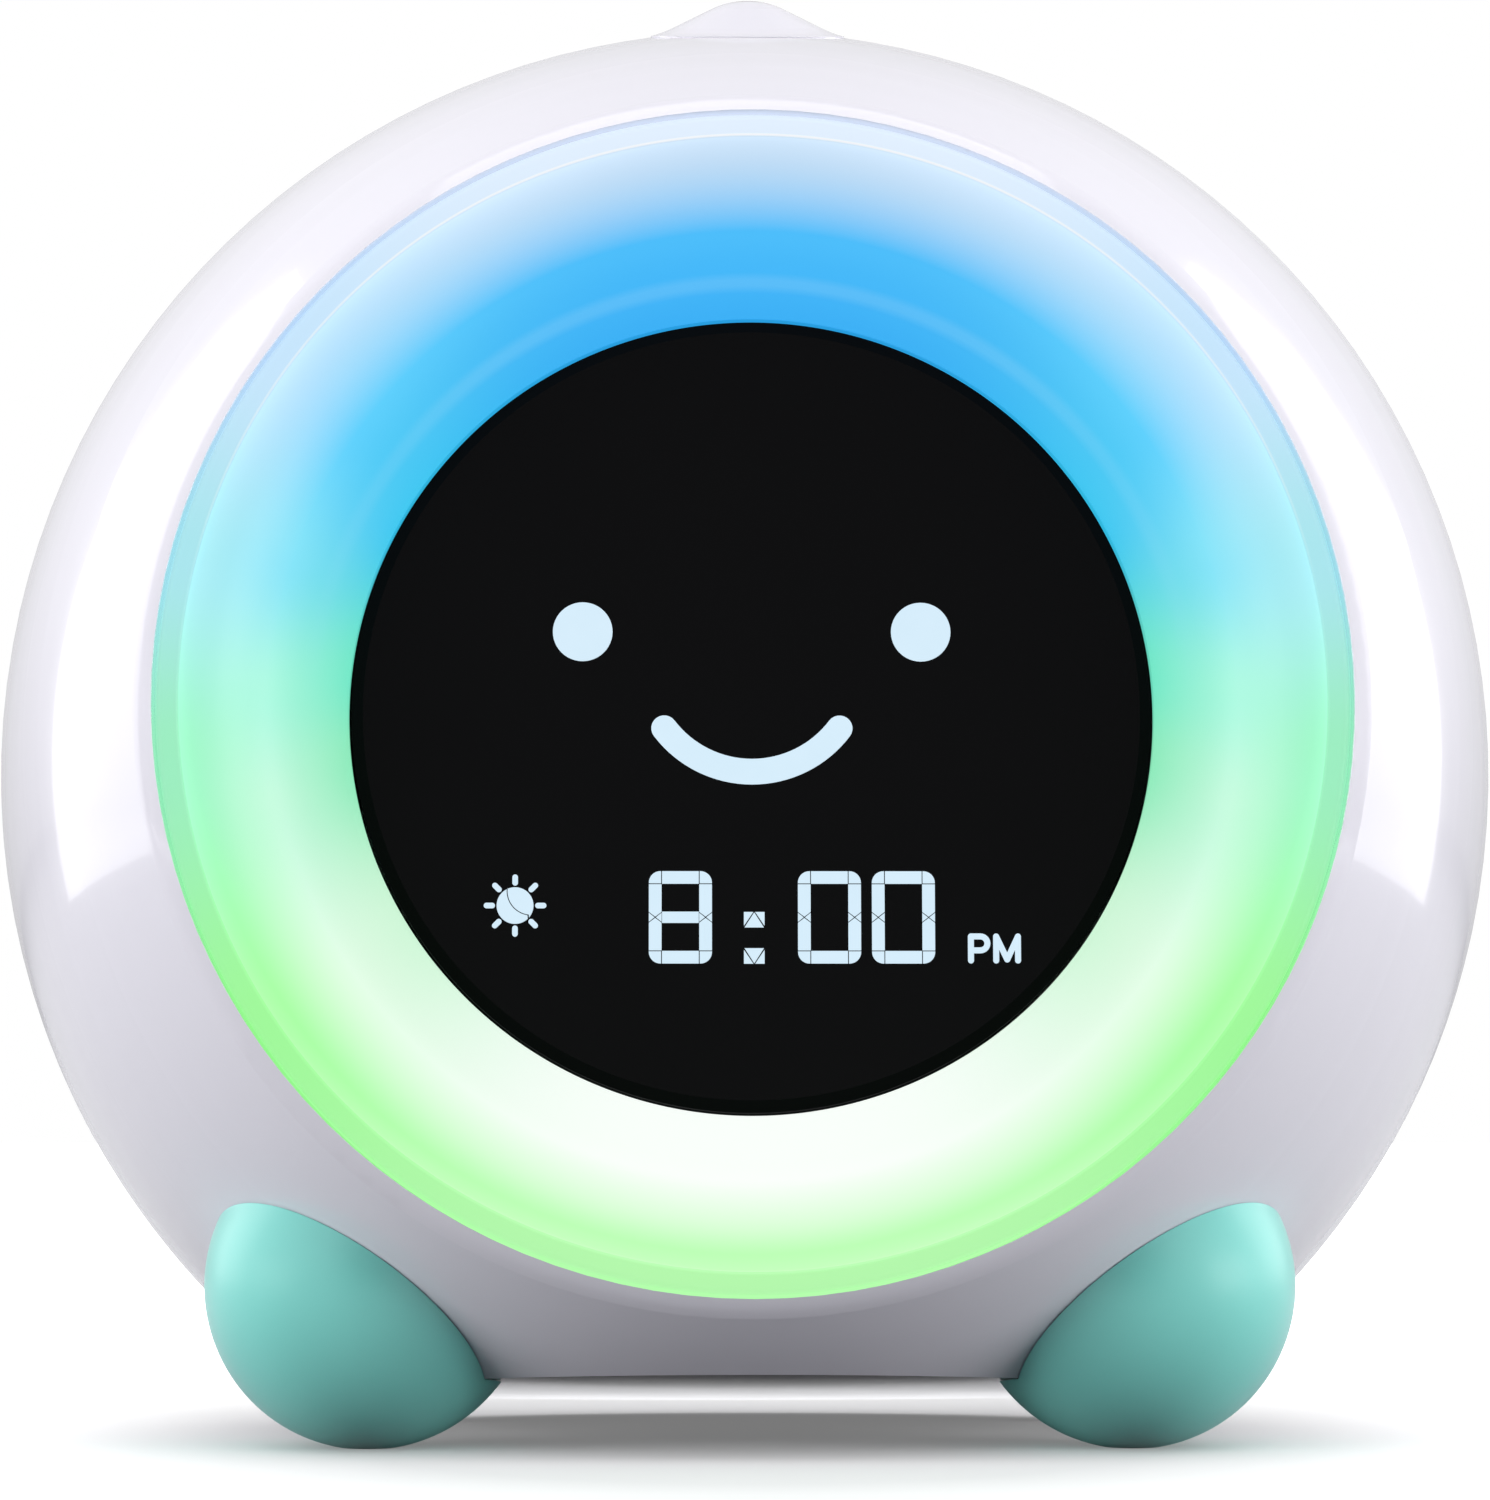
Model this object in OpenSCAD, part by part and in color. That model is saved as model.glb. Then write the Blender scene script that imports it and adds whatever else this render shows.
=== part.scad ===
/* [Case] */
// Largest radius of the round case
case_r = 80; // [78:0.5:84]
// Radius of the long curve of the flank, in front of the widest plane
flank_r = 95.5; // [92:0.5:100]
// Radius of the shoulder beside the light ring
shoulder_r = 6; // [5:0.5:7]
// Radius of the curve behind the widest plane, which is also the depth there
back_r = 34; // [33:0.5:36]
// Wall thickness of both shells
wall = 2.2; // [2:0.1:2.6]
// How much of the round case the flat base cuts away
base_cut = 13.8; // [13:0.2:15]
// How far behind the widest plane the two shells meet
split_back = 8; // [7:0.5:9]
// How far the case leans back, in degrees
lean = 5; // [4:0.5:6]
// Gap under the rear edge of the base
rear_clear = 1.4; // [1:0.1:2]

/* [Light ring] */
// How far the shoulder turns in before the front opening
lip_turn = 1.9; // [1.3:0.1:2.1]
// Gap between the light ring and the shell around it
ring_gap = 0.35; // [0.2:0.05:0.4]
// Width of the flat rim around the dish
rim_w = 2.3; // [2:0.1:2.8]
// Width of the dish, from its rim to the display
dish_w = 16.378; // [15.378:0.2:17.378]
// Radius of the dish's round cross-section
dish_r = 11.2; // [10.4:0.2:12]
// Depth of the dish below its rim
dish_depth = 11.7; // [11.2:0.1:12.4]
// Thickness of the translucent ring
ring_t = 2; // [1.6:0.1:2.2]
// Width of the flange that clamps the ring
flange_w = 3.3; // [3.1:0.1:3.4]
// Number of lamps behind the ring
lamp_count = 24; // [16:2:30]
// Side of one lamp
lamp_size = 5; // [3.5:0.5:5]
// Height of one lamp
lamp_h = 1.6; // [1:0.1:2]

/* [Display] */
// Thickness of the display lens
lens_t = 3; // [2.4:0.2:3.4]
// How far the lens stands out of the dish
lens_proud = 0.6; // [0.4:0.1:1]
// Width of the lens's bevel
bevel_w = 1.2; // [0.8:0.1:1.6]
// Wall of the display cup
cup_t = 1.5; // [1.2:0.1:1.8]
// Height of the figures on the display
digit_h = 9.3; // [8:0.1:10.5]
// Width of one figure
digit_w = 6.3; // [5.6:0.1:6.8]
// Width of one bar of a figure
bar_w = 1.3; // [1:0.1:1.5]

/* [Feet] */
// Radius of the ball feet
foot_r = 16.6; // [16:0.2:17.4]
// Distance of each foot from the middle
foot_x = 38.6; // [37:0.2:40]
// Distance of the feet in front of the middle of the case's depth
foot_front = 25.6; // [24:0.2:27]
// How much of each ball is cut flat to stand on
foot_flat = 0.25; // [0.2:0.05:0.5]
// Radius of the rear pads
pad_r = 2.8; // [2.4:0.2:3]
// How far each rear pad stands in from the foot in front of it
pad_in = 3.4; // [3:0.2:5]
// Depth of the recess that holds a rear pad
pad_seat = 0.8; // [0.6:0.1:1]

/* [Top button] */
// Radius of the top button
button_r = 10.25; // [9.75:0.25:11]
// Slope of the button's side, in degrees
button_slope = 26; // [23:1:28]
// Radius of the round crown
crown_r = 8.6; // [7.8:0.2:9.4]
// Radius of the hollow curve towards the edge
flare_r = 12; // [10:0.5:13]
// Slope at the edge, in degrees
edge_slope = 14; // [12:1:17]
// Travel of the top button
button_travel = 1; // [0.6:0.1:1.2]
// Radius of the button's stem
stem_r = 3; // [2.5:0.1:3.5]
// How far the flank turns forward before the button, in degrees
button_turn = 16; // [14:0.5:18]
// How far the button's edge lies below the crest of the flank
button_sink = 0.5; // [0.3:0.1:0.8]

/* [Rear keys] */
// Radius of a rear key
key_r = 4.2; // [3.8:0.1:4.5]
// How far a rear key stands out
key_proud = 0.8; // [0.6:0.1:1.2]
// Travel of a rear key
key_travel = 0.6; // [0.4:0.1:0.7]
// Distance of the keys from the axis
key_ring_r = 36; // [35:0.5:37]
// Angle between neighbouring keys, in degrees
key_step = 22; // [20:1:23]

/* [Battery bay] */
// Radius of a cell
cell_r = 5.25; // [5.1:0.05:5.4]
// Length of a cell, with its terminal
cell_len = 44.5; // [44:0.1:45]
// Number of cells
cell_count = 2; // [1:1:2]
// Distance of the bay's middle below the axis
bay_drop = 21.4; // [21:0.2:22]
// Thickness of the battery door
door_t = 1.6; // [1.4:0.1:1.8]
// How far the door laps over the bay's edge
door_lap = 2.2; // [2:0.1:2.6]
// Opening angle of the battery door, in degrees
door_open = 70; // [45:5:80]

/* [Speaker] */
// Radius of the speaker
speaker_r = 17; // [15:0.5:18]
// Depth of the speaker
speaker_h = 9; // [8:0.5:11]
// Distance of the speaker above the axis
speaker_up = 21.5; // [20:0.5:22.5]
// Radius of a hole in the grille
grille_hole_r = 1; // [0.8:0.1:1.2]
// Distance between the rings of grille holes
grille_pitch = 4; // [3.6:0.2:4.6]

/* [Boards] */
// Thickness of every circuit board
board_t = 1.6; // [1.2:0.2:1.6]
// Width of the main board
main_board_w = 84; // [76:1:88]
// Height of the main board
main_board_h = 70; // [62:1:74]
// Length of the posts that carry the main board
post_h = 10; // [8:0.5:12]

/* [Hidden] */
$fn = 96;

// Clearances
fit = 0.1;          // pieces that are assembled once
run = 0.3;          // pieces that move past each other
far = 400;          // larger than the whole clock

// Profile of the case: r across, s along the axis, with s = 0 at the widest plane
// In front of it four arcs run into each other, each a little rounder than the one behind it, and
// then the shoulder. centre_step leads from the centre of each arc to the centre of the next, and
// points to where the two meet.
centre_step = [[0.84, 0.13], [0.35, 0.12], [0.15, 0.08]];
last_arc = 3;
knee_dir = [0.8, 0.6];
function arc_r(k) = k == 0 ? flank_r : arc_r(k - 1) - norm(centre_step[k - 1]);
function arc_c(k) = k == 0 ? [case_r - flank_r, 0] : arc_c(k - 1) + centre_step[k - 1];
function arc_end_dir(k) = k == last_arc ? knee_dir : centre_step[k] / norm(centre_step[k]);
knee_r = arc_c(last_arc)[0] + arc_r(last_arc) * knee_dir[0];
shoulder_c = arc_c(last_arc) + (arc_r(last_arc) - shoulder_r) * knee_dir;
shoulder_cr = shoulder_c[0];
shoulder_cs = shoulder_c[1];
back_flat_r = case_r - back_r;
base_drop = case_r - base_cut;
opening_r = knee_r - lip_turn;
lip_s = shoulder_cs + sqrt(pow(shoulder_r, 2) - pow(max(0, opening_r - shoulder_cr), 2));

// Where the axis stands: the base's rear edge is rear_clear above the floor
base_back_s = sqrt(pow(back_r, 2) - pow(base_drop - back_flat_r, 2));
axis_h = base_drop * cos(lean) + base_back_s * sin(lean) + rear_clear;
front_reach = lip_s * cos(lean) + opening_r * sin(lean);
back_reach = back_flat_r * sin(lean) + back_r;
case_y = (front_reach - back_reach) / 2;

// Light ring, from its rim back
ring_r = opening_r - ring_gap;
rim_s = lip_s - 0.3;
dish_floor_s = rim_s - dish_depth;
dish_cs = dish_floor_s + dish_r;
dish_cr = ring_r - rim_w - dish_r;
skirt_t = 1.7;
flange_front_s = rim_s - 7.5;
flange_back_s = flange_front_s - ring_t;
flange_r = ring_r + flange_w;
display_r = ring_r - rim_w - dish_w;
ring_bore_r = display_r + run;

// Reflector tray behind the ring, and the lamp board on its floor
tray_t = 1.5;
tray_front_s = flange_back_s;
tray_in_r = dish_cr + sqrt(pow(dish_r + ring_t, 2) - pow(dish_cs - tray_front_s, 2)) + 0.25;
tray_h = 18.9;
tray_back_s = tray_front_s - tray_h;
tray_floor_t = 2;
tray_lip_t = 1.8;
tray_floor_s = tray_back_s + tray_floor_t;
hub_in_r = display_r + 0.4;
hub_out_r = hub_in_r + tray_t;
lamp_board_in_r = hub_out_r + 0.8;
lamp_board_out_r = tray_in_r - 0.8;
lamp_ring_r = (lamp_board_in_r + lamp_board_out_r) / 2;
lamp_board_s = tray_floor_s + board_t;
ring_screw_r = ring_r + 1.7;
screw_r = 0.8;
ring_screw_count = 6;

// Display stack inside the cup
lens_front_s = dish_floor_s + lens_proud;
lens_back_s = lens_front_s - lens_t;
cup_r = display_r - 0.3;
cup_in_r = cup_r - cup_t;
mask_front_s = lens_back_s - fit;
mask_t = 7;
mask_back_s = mask_front_s - mask_t;
display_board_back_s = mask_back_s - board_t;
ribbon_w = 14;
ribbon_t = 0.5;
ribbon_y = -12;

// Main board behind the tray
post_back_s = tray_back_s - post_h;
main_board_back_s = post_back_s - board_t;
post_x = main_board_w / 2 - 6;
post_y = main_board_h / 2 - 6;

// Rear face
rear_s = -back_r;
rear_in_s = rear_s + wall;

// Battery bay
bay_pad = 1.4;                                  // extra wall around the bay
bay_len = cell_len + 5.6;
bay_w = 2 * cell_r * cell_count + 0.6;
bay_frame_s = rear_in_s + bay_pad;
door_w = bay_len + 2 * door_lap;
door_h = bay_w + 2 * door_lap;
door_low_y = -bay_drop - door_h / 2;
door_high_y = -bay_drop + door_h / 2;
ear_r = 5;
ear_y = door_high_y + 3.2;
hinge_skin = 0.9;
tab_w = 7;
tab_x = bay_len / 2 - 8;
tab_reach = 1.6;
pocket_r = norm([tab_reach, door_t]) + 0.3;
cell_s = rear_s + door_t + 0.6 + cell_r;
box_t = 1.4;
box_floor_s = cell_s + cell_r + 0.3;
box_back_s = box_floor_s + box_t;

// Rear keys and their boards
key_flange_r = key_r + 1;
key_flange_s = rear_in_s + 0.1;
key_flange_t = 1;
switch_h = 3.4;
switch_plunger_h = 1.2;
key_board_s = rear_in_s + 9.8;
key_stem_s = key_board_s - switch_h - switch_plunger_h - key_travel - 0.1;
key_board_end = 15;
key_post_a = 10.5;
key_board_in_r = key_ring_r - 6;
key_board_out_r = key_ring_r + 6;

// Top button, its seat and the switch under it
skirt_h = 0.9;
flare_cr = button_r + flare_r * sin(edge_slope);
flare_ch = flare_r * cos(edge_slope);
flare_end_r = flare_cr - flare_r * sin(button_slope);
flare_end_h = flare_ch - flare_r * cos(button_slope);
crown_end_r = crown_r * sin(button_slope);
crown_end_h = flare_end_h + (flare_end_r - crown_end_r) * tan(button_slope);
button_h = crown_end_h + crown_r * (1 - cos(button_slope));
well_depth = skirt_h + button_travel + 0.1;
well_r = button_r + run;
well_wall = 1.8;
well_under_h = -well_depth - 2;
clip_t = 1.2;
clip_r = stem_r + 1.8;
stem_end_h = well_under_h - 4.5;
bracket_t = 1.6;
bracket_h = stem_end_h - button_travel - 0.1 - switch_plunger_h - switch_h - bracket_t;
bracket_x = well_r + 2.5;

// Feet, in the case's own frame
foot_y = -foot_front - case_y;
foot_z = foot_r - foot_flat - axis_h;
foot_v = foot_y * sin(lean) + foot_z * cos(lean);
foot_s = -foot_y * cos(lean) + foot_z * sin(lean);
foot_wall_r = arc_c(2)[0] + sqrt(pow(arc_r(2), 2) - pow(foot_s - arc_c(2)[1], 2));
foot_seat_r = foot_wall_r - wall - 1.8;

pad_edge = 1.2;                                 // base left between a rear pad and the joint

// Ribs on the floor of the front shell
rib_t = 1.4;
rib_h = 3.4;
rib_len = 46;
rib_pitch = 12;

// Screw towers that join the shells
tower_r = case_r - 13;
tower_rad = 4.2;
tower_a = [45, 135, 225, 315];
tower_bore_r = 1.25;
case_screw_r = 1.5;
case_screw_head_r = 2.8;
head_seat_s = -split_back - 6;
case_screw_len = 16;

// Speaker
speaker_s = rear_in_s + 1;
collar_t = 1.6;
collar_h = 3;

// Power inlet
socket_x = -36;
socket_y = -16.5;
socket_w = 8.9;
socket_h = 3.2;
socket_len = 7.4;
power_board_w = 12;
power_board_len = 15;

// Colours
white = "#f4f4f6";
mint = "#7fd6c8";
milky = "#dff3ff";
black = "#131313";
green = "#1f6b45";
steel = "#b9bcc0";

// ---------- frames and helpers ----------

// The case's own frame: +Z towards the viewer along the axis, +Y up
module in_case() {
  translate([0, case_y, axis_h]) rotate([90 - lean, 0, 0]) children();
}

module at_s(s) { translate([0, 0, s]) children(); }

module disc(r, s0, s1) { at_s(s0) cylinder(r = r, h = s1 - s0); }

module tube(r_out, r_in, s0, s1) {
  difference() {
    disc(r_out, s0, s1);
    disc(r_in, s0 - 1, s1 + 1);
  }
}

module plate(w, h, corner, s0, s1) {
  at_s(s0) linear_extrude(s1 - s0) rounded(w, h, corner);
}

module rounded(w, h, c) {
  square([w - 2 * c, h], center = true);
  square([w, h - 2 * c], center = true);
  for (x = [-1, 1], y = [-1, 1]) translate([x * (w / 2 - c), y * (h / 2 - c)]) circle(c);
}

module on_ring(r, count, start = 0) {
  for (i = [0 : count - 1]) rotate(start + i * 360 / count) translate([r, 0, 0]) children();
}

module pan_screw(r, head_r, head_h, len) {
  // Head above the origin, shank below it, with a cross recess
  difference() {
    cylinder(r = head_r, h = head_h);
    for (a = [0, 90]) rotate(a)
      translate([0, 0, head_h - 0.4]) cube([head_r * 1.2, head_r * 0.28, 2], center = true);
  }
  translate([0, 0, -len]) cylinder(r = r, h = len);
}

// ---------- the case ----------

// How far in front of the widest plane arc k ends, moved in by inset
function arc_end(k, inset) = arc_c(k)[1] + (arc_r(k) - inset) * arc_end_dir(k)[1];

// Half section of the case, moved in by inset
module case_section(inset) {
  for (k = [0 : last_arc]) intersection() {
    translate(arc_c(k)) circle(r = arc_r(k) - inset, $fn = 240);
    difference() {
      square([far, arc_end(k, inset)]);
      if (k > 0) square([far, arc_end(k - 1, inset)]);
    }
  }
  intersection() {
    translate(shoulder_c) circle(r = shoulder_r - inset);
    translate([0, arc_end(last_arc, inset)]) square(far);
  }
  square([shoulder_cr, shoulder_cs + shoulder_r - inset]);
  intersection() {
    translate([back_flat_r, 0]) circle(r = back_r - inset, $fn = 180);
    translate([0, -far]) square([far, far]);
  }
  translate([0, -(back_r - inset)]) square([back_flat_r, back_r - inset]);
}

// The case as a solid, moved in by inset, between two planes across the axis
module case_solid(inset, s0, s1) {
  difference() {
    rotate(-90) rotate_extrude($fn = 180) intersection() {
      case_section(inset);
      translate([0, s0]) square([far, s1 - s0]);
    }
    translate([-far / 2, -far - base_drop + inset, -far / 2]) cube(far);
  }
}

// Screw towers, each with a rib to the wall
module towers(s0, s1, rib_s0) {
  for (a = tower_a) rotate(a) translate([tower_r, 0, 0]) {
    disc(tower_rad, s0, s1);
    translate([0, -0.7, rib_s0]) cube([20, 1.4, s1 - rib_s0]);
  }
}

// Frame of the top button: +Z points out of the flank, from the plane of the button's edge
module at_button() {
  translate([0, arc_c(1)[0], arc_c(1)[1]]) rotate([button_turn - 90, 0, 0])
    translate([0, 0, arc_r(1) - button_sink]) children();
}

// Frame of a foot's screw: +Z points from the foot to the axis of the case
module at_foot_screw(side) {
  translate([0, 0, foot_s]) rotate(atan2(foot_v, side * foot_x))
    translate([foot_seat_r, 0, 0]) rotate([0, -90, 0]) children();
}

module front_shell() {
  color(white) in_case() difference() {
    union() {
      difference() {
        case_solid(0, -split_back, lip_s + 5);
        case_solid(wall, -split_back - 1, flange_front_s + 0.1);
        // groove that takes the tongue of the rear shell
        case_solid(wall - 0.9, -split_back - 1, -split_back + 2);
      }
      // towers, seats for the foot screws and the well of the top button
      intersection() {
        case_solid(wall / 2, -split_back + 0.2, lip_s);
        union() {
          towers(-split_back + 0.2, lip_s - 12, -split_back + 2.4);
          for (side = [-1, 1]) at_foot_screw(side)
            translate([0, 0, -wall - 4]) cylinder(r = 4.4, h = wall + 4);
          at_button() disc(well_r + well_wall, well_under_h, 10);
          at_button() bracket_posts() disc(2.6, bracket_h + bracket_t, 10);
          base_ribs();
        }
      }
    }
    disc(opening_r, 0, far);
    ring_screw_holes(screw_r + 0.05, flange_front_s - 1, flange_front_s + 3.6);
    for (a = tower_a) rotate(a) translate([tower_r, 0, 0])
      disc(tower_bore_r + 0.05, -far, case_screw_len + head_seat_s + 12);
    for (side = [-1, 1]) at_foot_screw(side) {
      disc(1.7, -30, 30);
    }
    at_button() {
      disc(well_r, -well_depth, 10);
      disc(stem_r + 0.05, well_under_h - 1, 0);
      bracket_posts() disc(0.9, bracket_h, bracket_h + bracket_t + 6);
    }
  }
}

module bracket_posts() {
  for (x = [-1, 1]) translate([x * bracket_x, 0, 0]) children();
}

// Ribs on the floor of the front shell, cut to it by the case solid
module base_ribs() {
  for (x = [-1, 0, 1])
    translate([x * rib_pitch - rib_t / 2, -base_drop - far + rib_h, -split_back + 2.4])
      cube([rib_t, far, rib_len]);
}

module ring_screw_holes(r, s0, s1) {
  on_ring(ring_screw_r, ring_screw_count, 30) disc(r, s0, s1);
}

module rear_shell() {
  color(white) in_case() difference() {
    union() {
      difference() {
        case_solid(0, rear_s - 1, -split_back);
        case_solid(wall, rear_s - 1, -split_back + 1);
      }
      // tongue that lines up the shells
      difference() {
        case_solid(wall - 0.8, -split_back - 2, -split_back + 1.8);
        case_solid(wall + 0.4, -split_back - 3, -split_back + 3);
      }
      intersection() {
        case_solid(wall / 2, rear_s, -split_back);
        union() {
          towers(rear_s, -split_back, rear_s);
          bay_frame();
          speaker_collar();
          for (side = [-1, 1]) key_board_posts(side);
          power_board_posts();
          pad_backing();
        }
      }
    }
    for (a = tower_a) rotate(a) translate([tower_r, 0, 0]) {
      disc(case_screw_r + 0.2, -far, far);
      disc(case_screw_head_r + 0.3, -far, head_seat_s);
    }
    grille();
    for (side = [-1, 1], i = [0 : 2]) at_key(side, i) disc(key_r + run, rear_s - 1, rear_in_s + 1);
    door_recess();
    for (side = [-1, 1]) key_board_holes(side) disc(0.8, key_board_s - 5, key_board_s + 1);
    power_slot();
    for (x = [-1, 1]) at_pad(x) cylinder(r = pad_r + fit, h = far);
  }
}

// Frame of a rear pad: +Z points down out of the base, from the floor of the pad's recess
module at_pad(x) {
  translate([x * (foot_x - pad_in), -base_drop + pad_seat, -split_back - pad_r - pad_edge])
    rotate([90, 0, 0]) children();
}

module pad_backing() {
  for (x = [-1, 1]) at_pad(x) translate([0, 0, -1.6]) cylinder(r = pad_r + 1.6, h = 4);
}

module grille() {
  translate([0, speaker_up, 0]) {
    disc(grille_hole_r, rear_s - 1, rear_in_s + 1);
    for (k = [1 : 3]) on_ring(k * grille_pitch, 6 * k)
      disc(grille_hole_r, rear_s - 1, rear_in_s + 1);
  }
}

module speaker_collar() {
  translate([0, speaker_up, 0])
    tube(speaker_r + run + collar_t, speaker_r + run, rear_in_s - 0.5, speaker_s + collar_h);
}

// ---------- light ring ----------

module ring_section() {
  difference() {
    union() {
      translate([ring_bore_r, dish_floor_s - ring_t])
        square([dish_cr - ring_bore_r, rim_s - dish_floor_s + ring_t]);
      intersection() {
        translate([dish_cr, dish_cs]) circle(r = dish_r + ring_t);
        translate([dish_cr, 0]) square([ring_r - dish_cr, dish_cs]);
      }
      translate([dish_cr, dish_cs]) square([ring_r - dish_cr, rim_s - dish_cs]);
      translate([ring_r - skirt_t, flange_back_s]) square([skirt_t, rim_s - flange_back_s]);
      translate([ring_r - skirt_t, flange_back_s]) square([flange_w + skirt_t, ring_t]);
    }
    // the dish
    translate([0, dish_floor_s]) square([dish_cr, far]);
    translate([dish_cr, dish_cs]) circle(r = dish_r);
    translate([0, dish_cs]) square([dish_cr + dish_r, far]);
    // softened corners of the rim
    corner_cut(ring_r, rim_s, 0.7);
    rotate(0) corner_cut_in(dish_cr + dish_r, rim_s, 0.3);
  }
}

// Removes the corner at (r, s) of a section that lies below and inside it, leaving radius c
module corner_cut(r, s, c) {
  difference() {
    translate([r - c, s - c]) square(2 * c);
    translate([r - c, s - c]) circle(r = c);
  }
}

module corner_cut_in(r, s, c) {
  difference() {
    translate([r - c, s - c]) square([2 * c, 2 * c]);
    translate([r + c, s - c]) circle(r = c);
    translate([r + c, s - far]) square(far);
  }
}

module light_ring() {
  color(milky) in_case() difference() {
    rotate_extrude($fn = 180) ring_section();
    ring_screw_holes(screw_r + 0.15, flange_back_s - 1, flange_front_s + 1);
  }
}

// White tray that spreads the lamps' light and carries the whole light unit
module ring_reflector() {
  color("white") in_case() difference() {
    union() {
      difference() {
        disc(tray_in_r + tray_t, tray_back_s, tray_front_s);
        tube(tray_in_r, hub_out_r, tray_floor_s, far);
        disc(hub_in_r, tray_floor_s, far);
        tube(hub_out_r + 1, hub_in_r - 1, dish_floor_s - ring_t - fit, far);
      }
      tube(flange_r - 0.3, tray_in_r, tray_front_s - tray_lip_t, tray_front_s);
      for (x = [-1, 1], y = [-1, 1]) translate([x * post_x, y * post_y, 0])
        disc(3, post_back_s, tray_back_s + 1);
      // ribs from the posts to the middle of the tray's back
      for (a = [atan2(post_y, post_x), -atan2(post_y, post_x)]) rotate(a)
        translate([-norm([post_x, post_y]), -0.8, tray_back_s - 3])
          cube([2 * norm([post_x, post_y]), 1.6, 4]);
    }
    ring_screw_holes(screw_r + 0.15, tray_front_s - 3, tray_front_s + 1);
    for (x = [-1, 1], y = [-1, 1]) translate([x * post_x, y * post_y, 0])
      disc(0.9, post_back_s - 1, post_back_s + 8);
    // slot for the display's ribbon
    translate([-ribbon_w / 2 - 1, ribbon_y - 1.5, tray_back_s - 5]) cube([ribbon_w + 2, 3, 12]);
    translate([-ribbon_w / 2 - 1, ribbon_y - 1.5, post_back_s]) cube([ribbon_w + 2, 3, 12]);
  }
}

module ring_screws() {
  color(steel) in_case() on_ring(ring_screw_r, ring_screw_count, 30)
    at_s(tray_front_s - tray_lip_t) rotate([180, 0, 0]) pan_screw(screw_r, 1.6, 1.2, 6);
}

module lamp_board() {
  color("#e8ecea") in_case() tube(lamp_board_out_r, lamp_board_in_r, tray_floor_s, lamp_board_s);
}

module lamps() {
  color("#fff4c8") in_case() on_ring(lamp_ring_r, lamp_count) difference() {
    translate([-lamp_size / 2, -lamp_size / 2, lamp_board_s]) cube([lamp_size, lamp_size, lamp_h]);
    disc(lamp_size * 0.38, lamp_board_s + lamp_h - 0.4, far);
  }
}

// ---------- display ----------

module display_lens() {
  color(black) in_case() rotate_extrude($fn = 180) polygon([
    [0, lens_back_s], [display_r, lens_back_s], [display_r, lens_front_s - bevel_w * 0.6],
    [display_r - bevel_w, lens_front_s], [0, lens_front_s]]);
}

module display_cup() {
  color("#1b1b1d") in_case() difference() {
    disc(cup_r, tray_floor_s, lens_back_s);
    disc(cup_in_r, tray_floor_s + 1.6, far);
    translate([-ribbon_w / 2 - 1, ribbon_y - 1.5, tray_floor_s - 1]) cube([ribbon_w + 2, 3, 4]);
    // step that the display board rests on
    on_ring(cup_in_r - 1, 3, 90) disc(1.2, tray_floor_s - 1, tray_floor_s + 2);
  }
  color("#1b1b1d") in_case() difference() {
    disc(cup_in_r, tray_floor_s + 1.6, display_board_back_s);
    disc(cup_in_r - 2.4, tray_floor_s, far);
  }
}

// One figure of seven bars, centred, as a flat shape, each bar made larger by grow
module figure(grow) {
  end = bar_w / 2 + 0.12;
  bar_len = digit_h / 2 - 2 * end;
  foot_len = digit_w - 2 * bar_w - 0.24;
  for (x = [-1, 1], y = [-1, 1]) translate([x * (digit_w - bar_w) / 2, y * digit_h / 4])
    square([bar_w + 2 * grow, bar_len + 2 * grow], center = true);
  for (y = [-1, 0, 1]) translate([0, y * (digit_h - bar_w) / 2])
    square([foot_len + 2 * grow, bar_w + 2 * grow], center = true);
}

layout_r = 40.2;
digit_x = [-7.2, 7.7, 15.1];
digit_y = -20.7;
colon_y = [-20.9, -24.6];

// The windows of the display: two round eyes, a smile, the time, a sign and a sun, laid out for a
// display of radius layout_r
module windows(grow = 0) {
  scale(display_r / layout_r) {
    for (x = [-1, 1]) translate([x * 17, 8.2]) circle(r = 3 + grow);
    translate([0, 5]) smile(11, 1.3 + grow);
    for (x = digit_x) translate([x, digit_y]) figure(grow);
    for (y = colon_y) translate([0.2, y]) square([1.9 + 2 * grow, 1.5 + 2 * grow], center = true);
    translate([24.2, -23.8]) square([5.6 + 2 * grow, 3.2 + 2 * grow], center = true);
    translate([-23.7, -19.5]) sun(grow);
  }
}

// Arc that hangs from the origin, with round ends
module smile(r, half_w) {
  difference() {
    circle(r = r + half_w);
    circle(r = r - half_w);
    polygon([[0, 0], [-4 * far, -3 * far], [-4 * far, far], [4 * far, far], [4 * far, -3 * far]]);
  }
  for (x = [-1, 1]) translate([x * 0.8 * r, -0.6 * r]) circle(r = half_w);
}

module sun(grow) {
  circle(r = 1.85 + grow);
  for (i = [0 : 7]) rotate(i * 45) translate([2.6, 0]) square([1.1 + grow, 0.56 + 2 * grow], center = true);
}

// Black block with a light well behind every window
module segment_mask() {
  color("#0c0c0e") in_case() difference() {
    disc(cup_in_r - 0.2, mask_back_s, mask_front_s);
    at_s(mask_back_s - 1) linear_extrude(mask_t + 2) windows(0.05);
  }
}

// Milky light guides that fill the windows of the mask
module segment_lights() {
  color("#d7eefc") in_case() at_s(mask_front_s - 2) linear_extrude(2) windows();
}

module display_board() {
  color(green) in_case() difference() {
    disc(cup_in_r - 0.2, display_board_back_s, mask_back_s);
    on_ring(cup_in_r - 1, 3, 90) disc(1.2, 0, far);
  }
}

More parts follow.
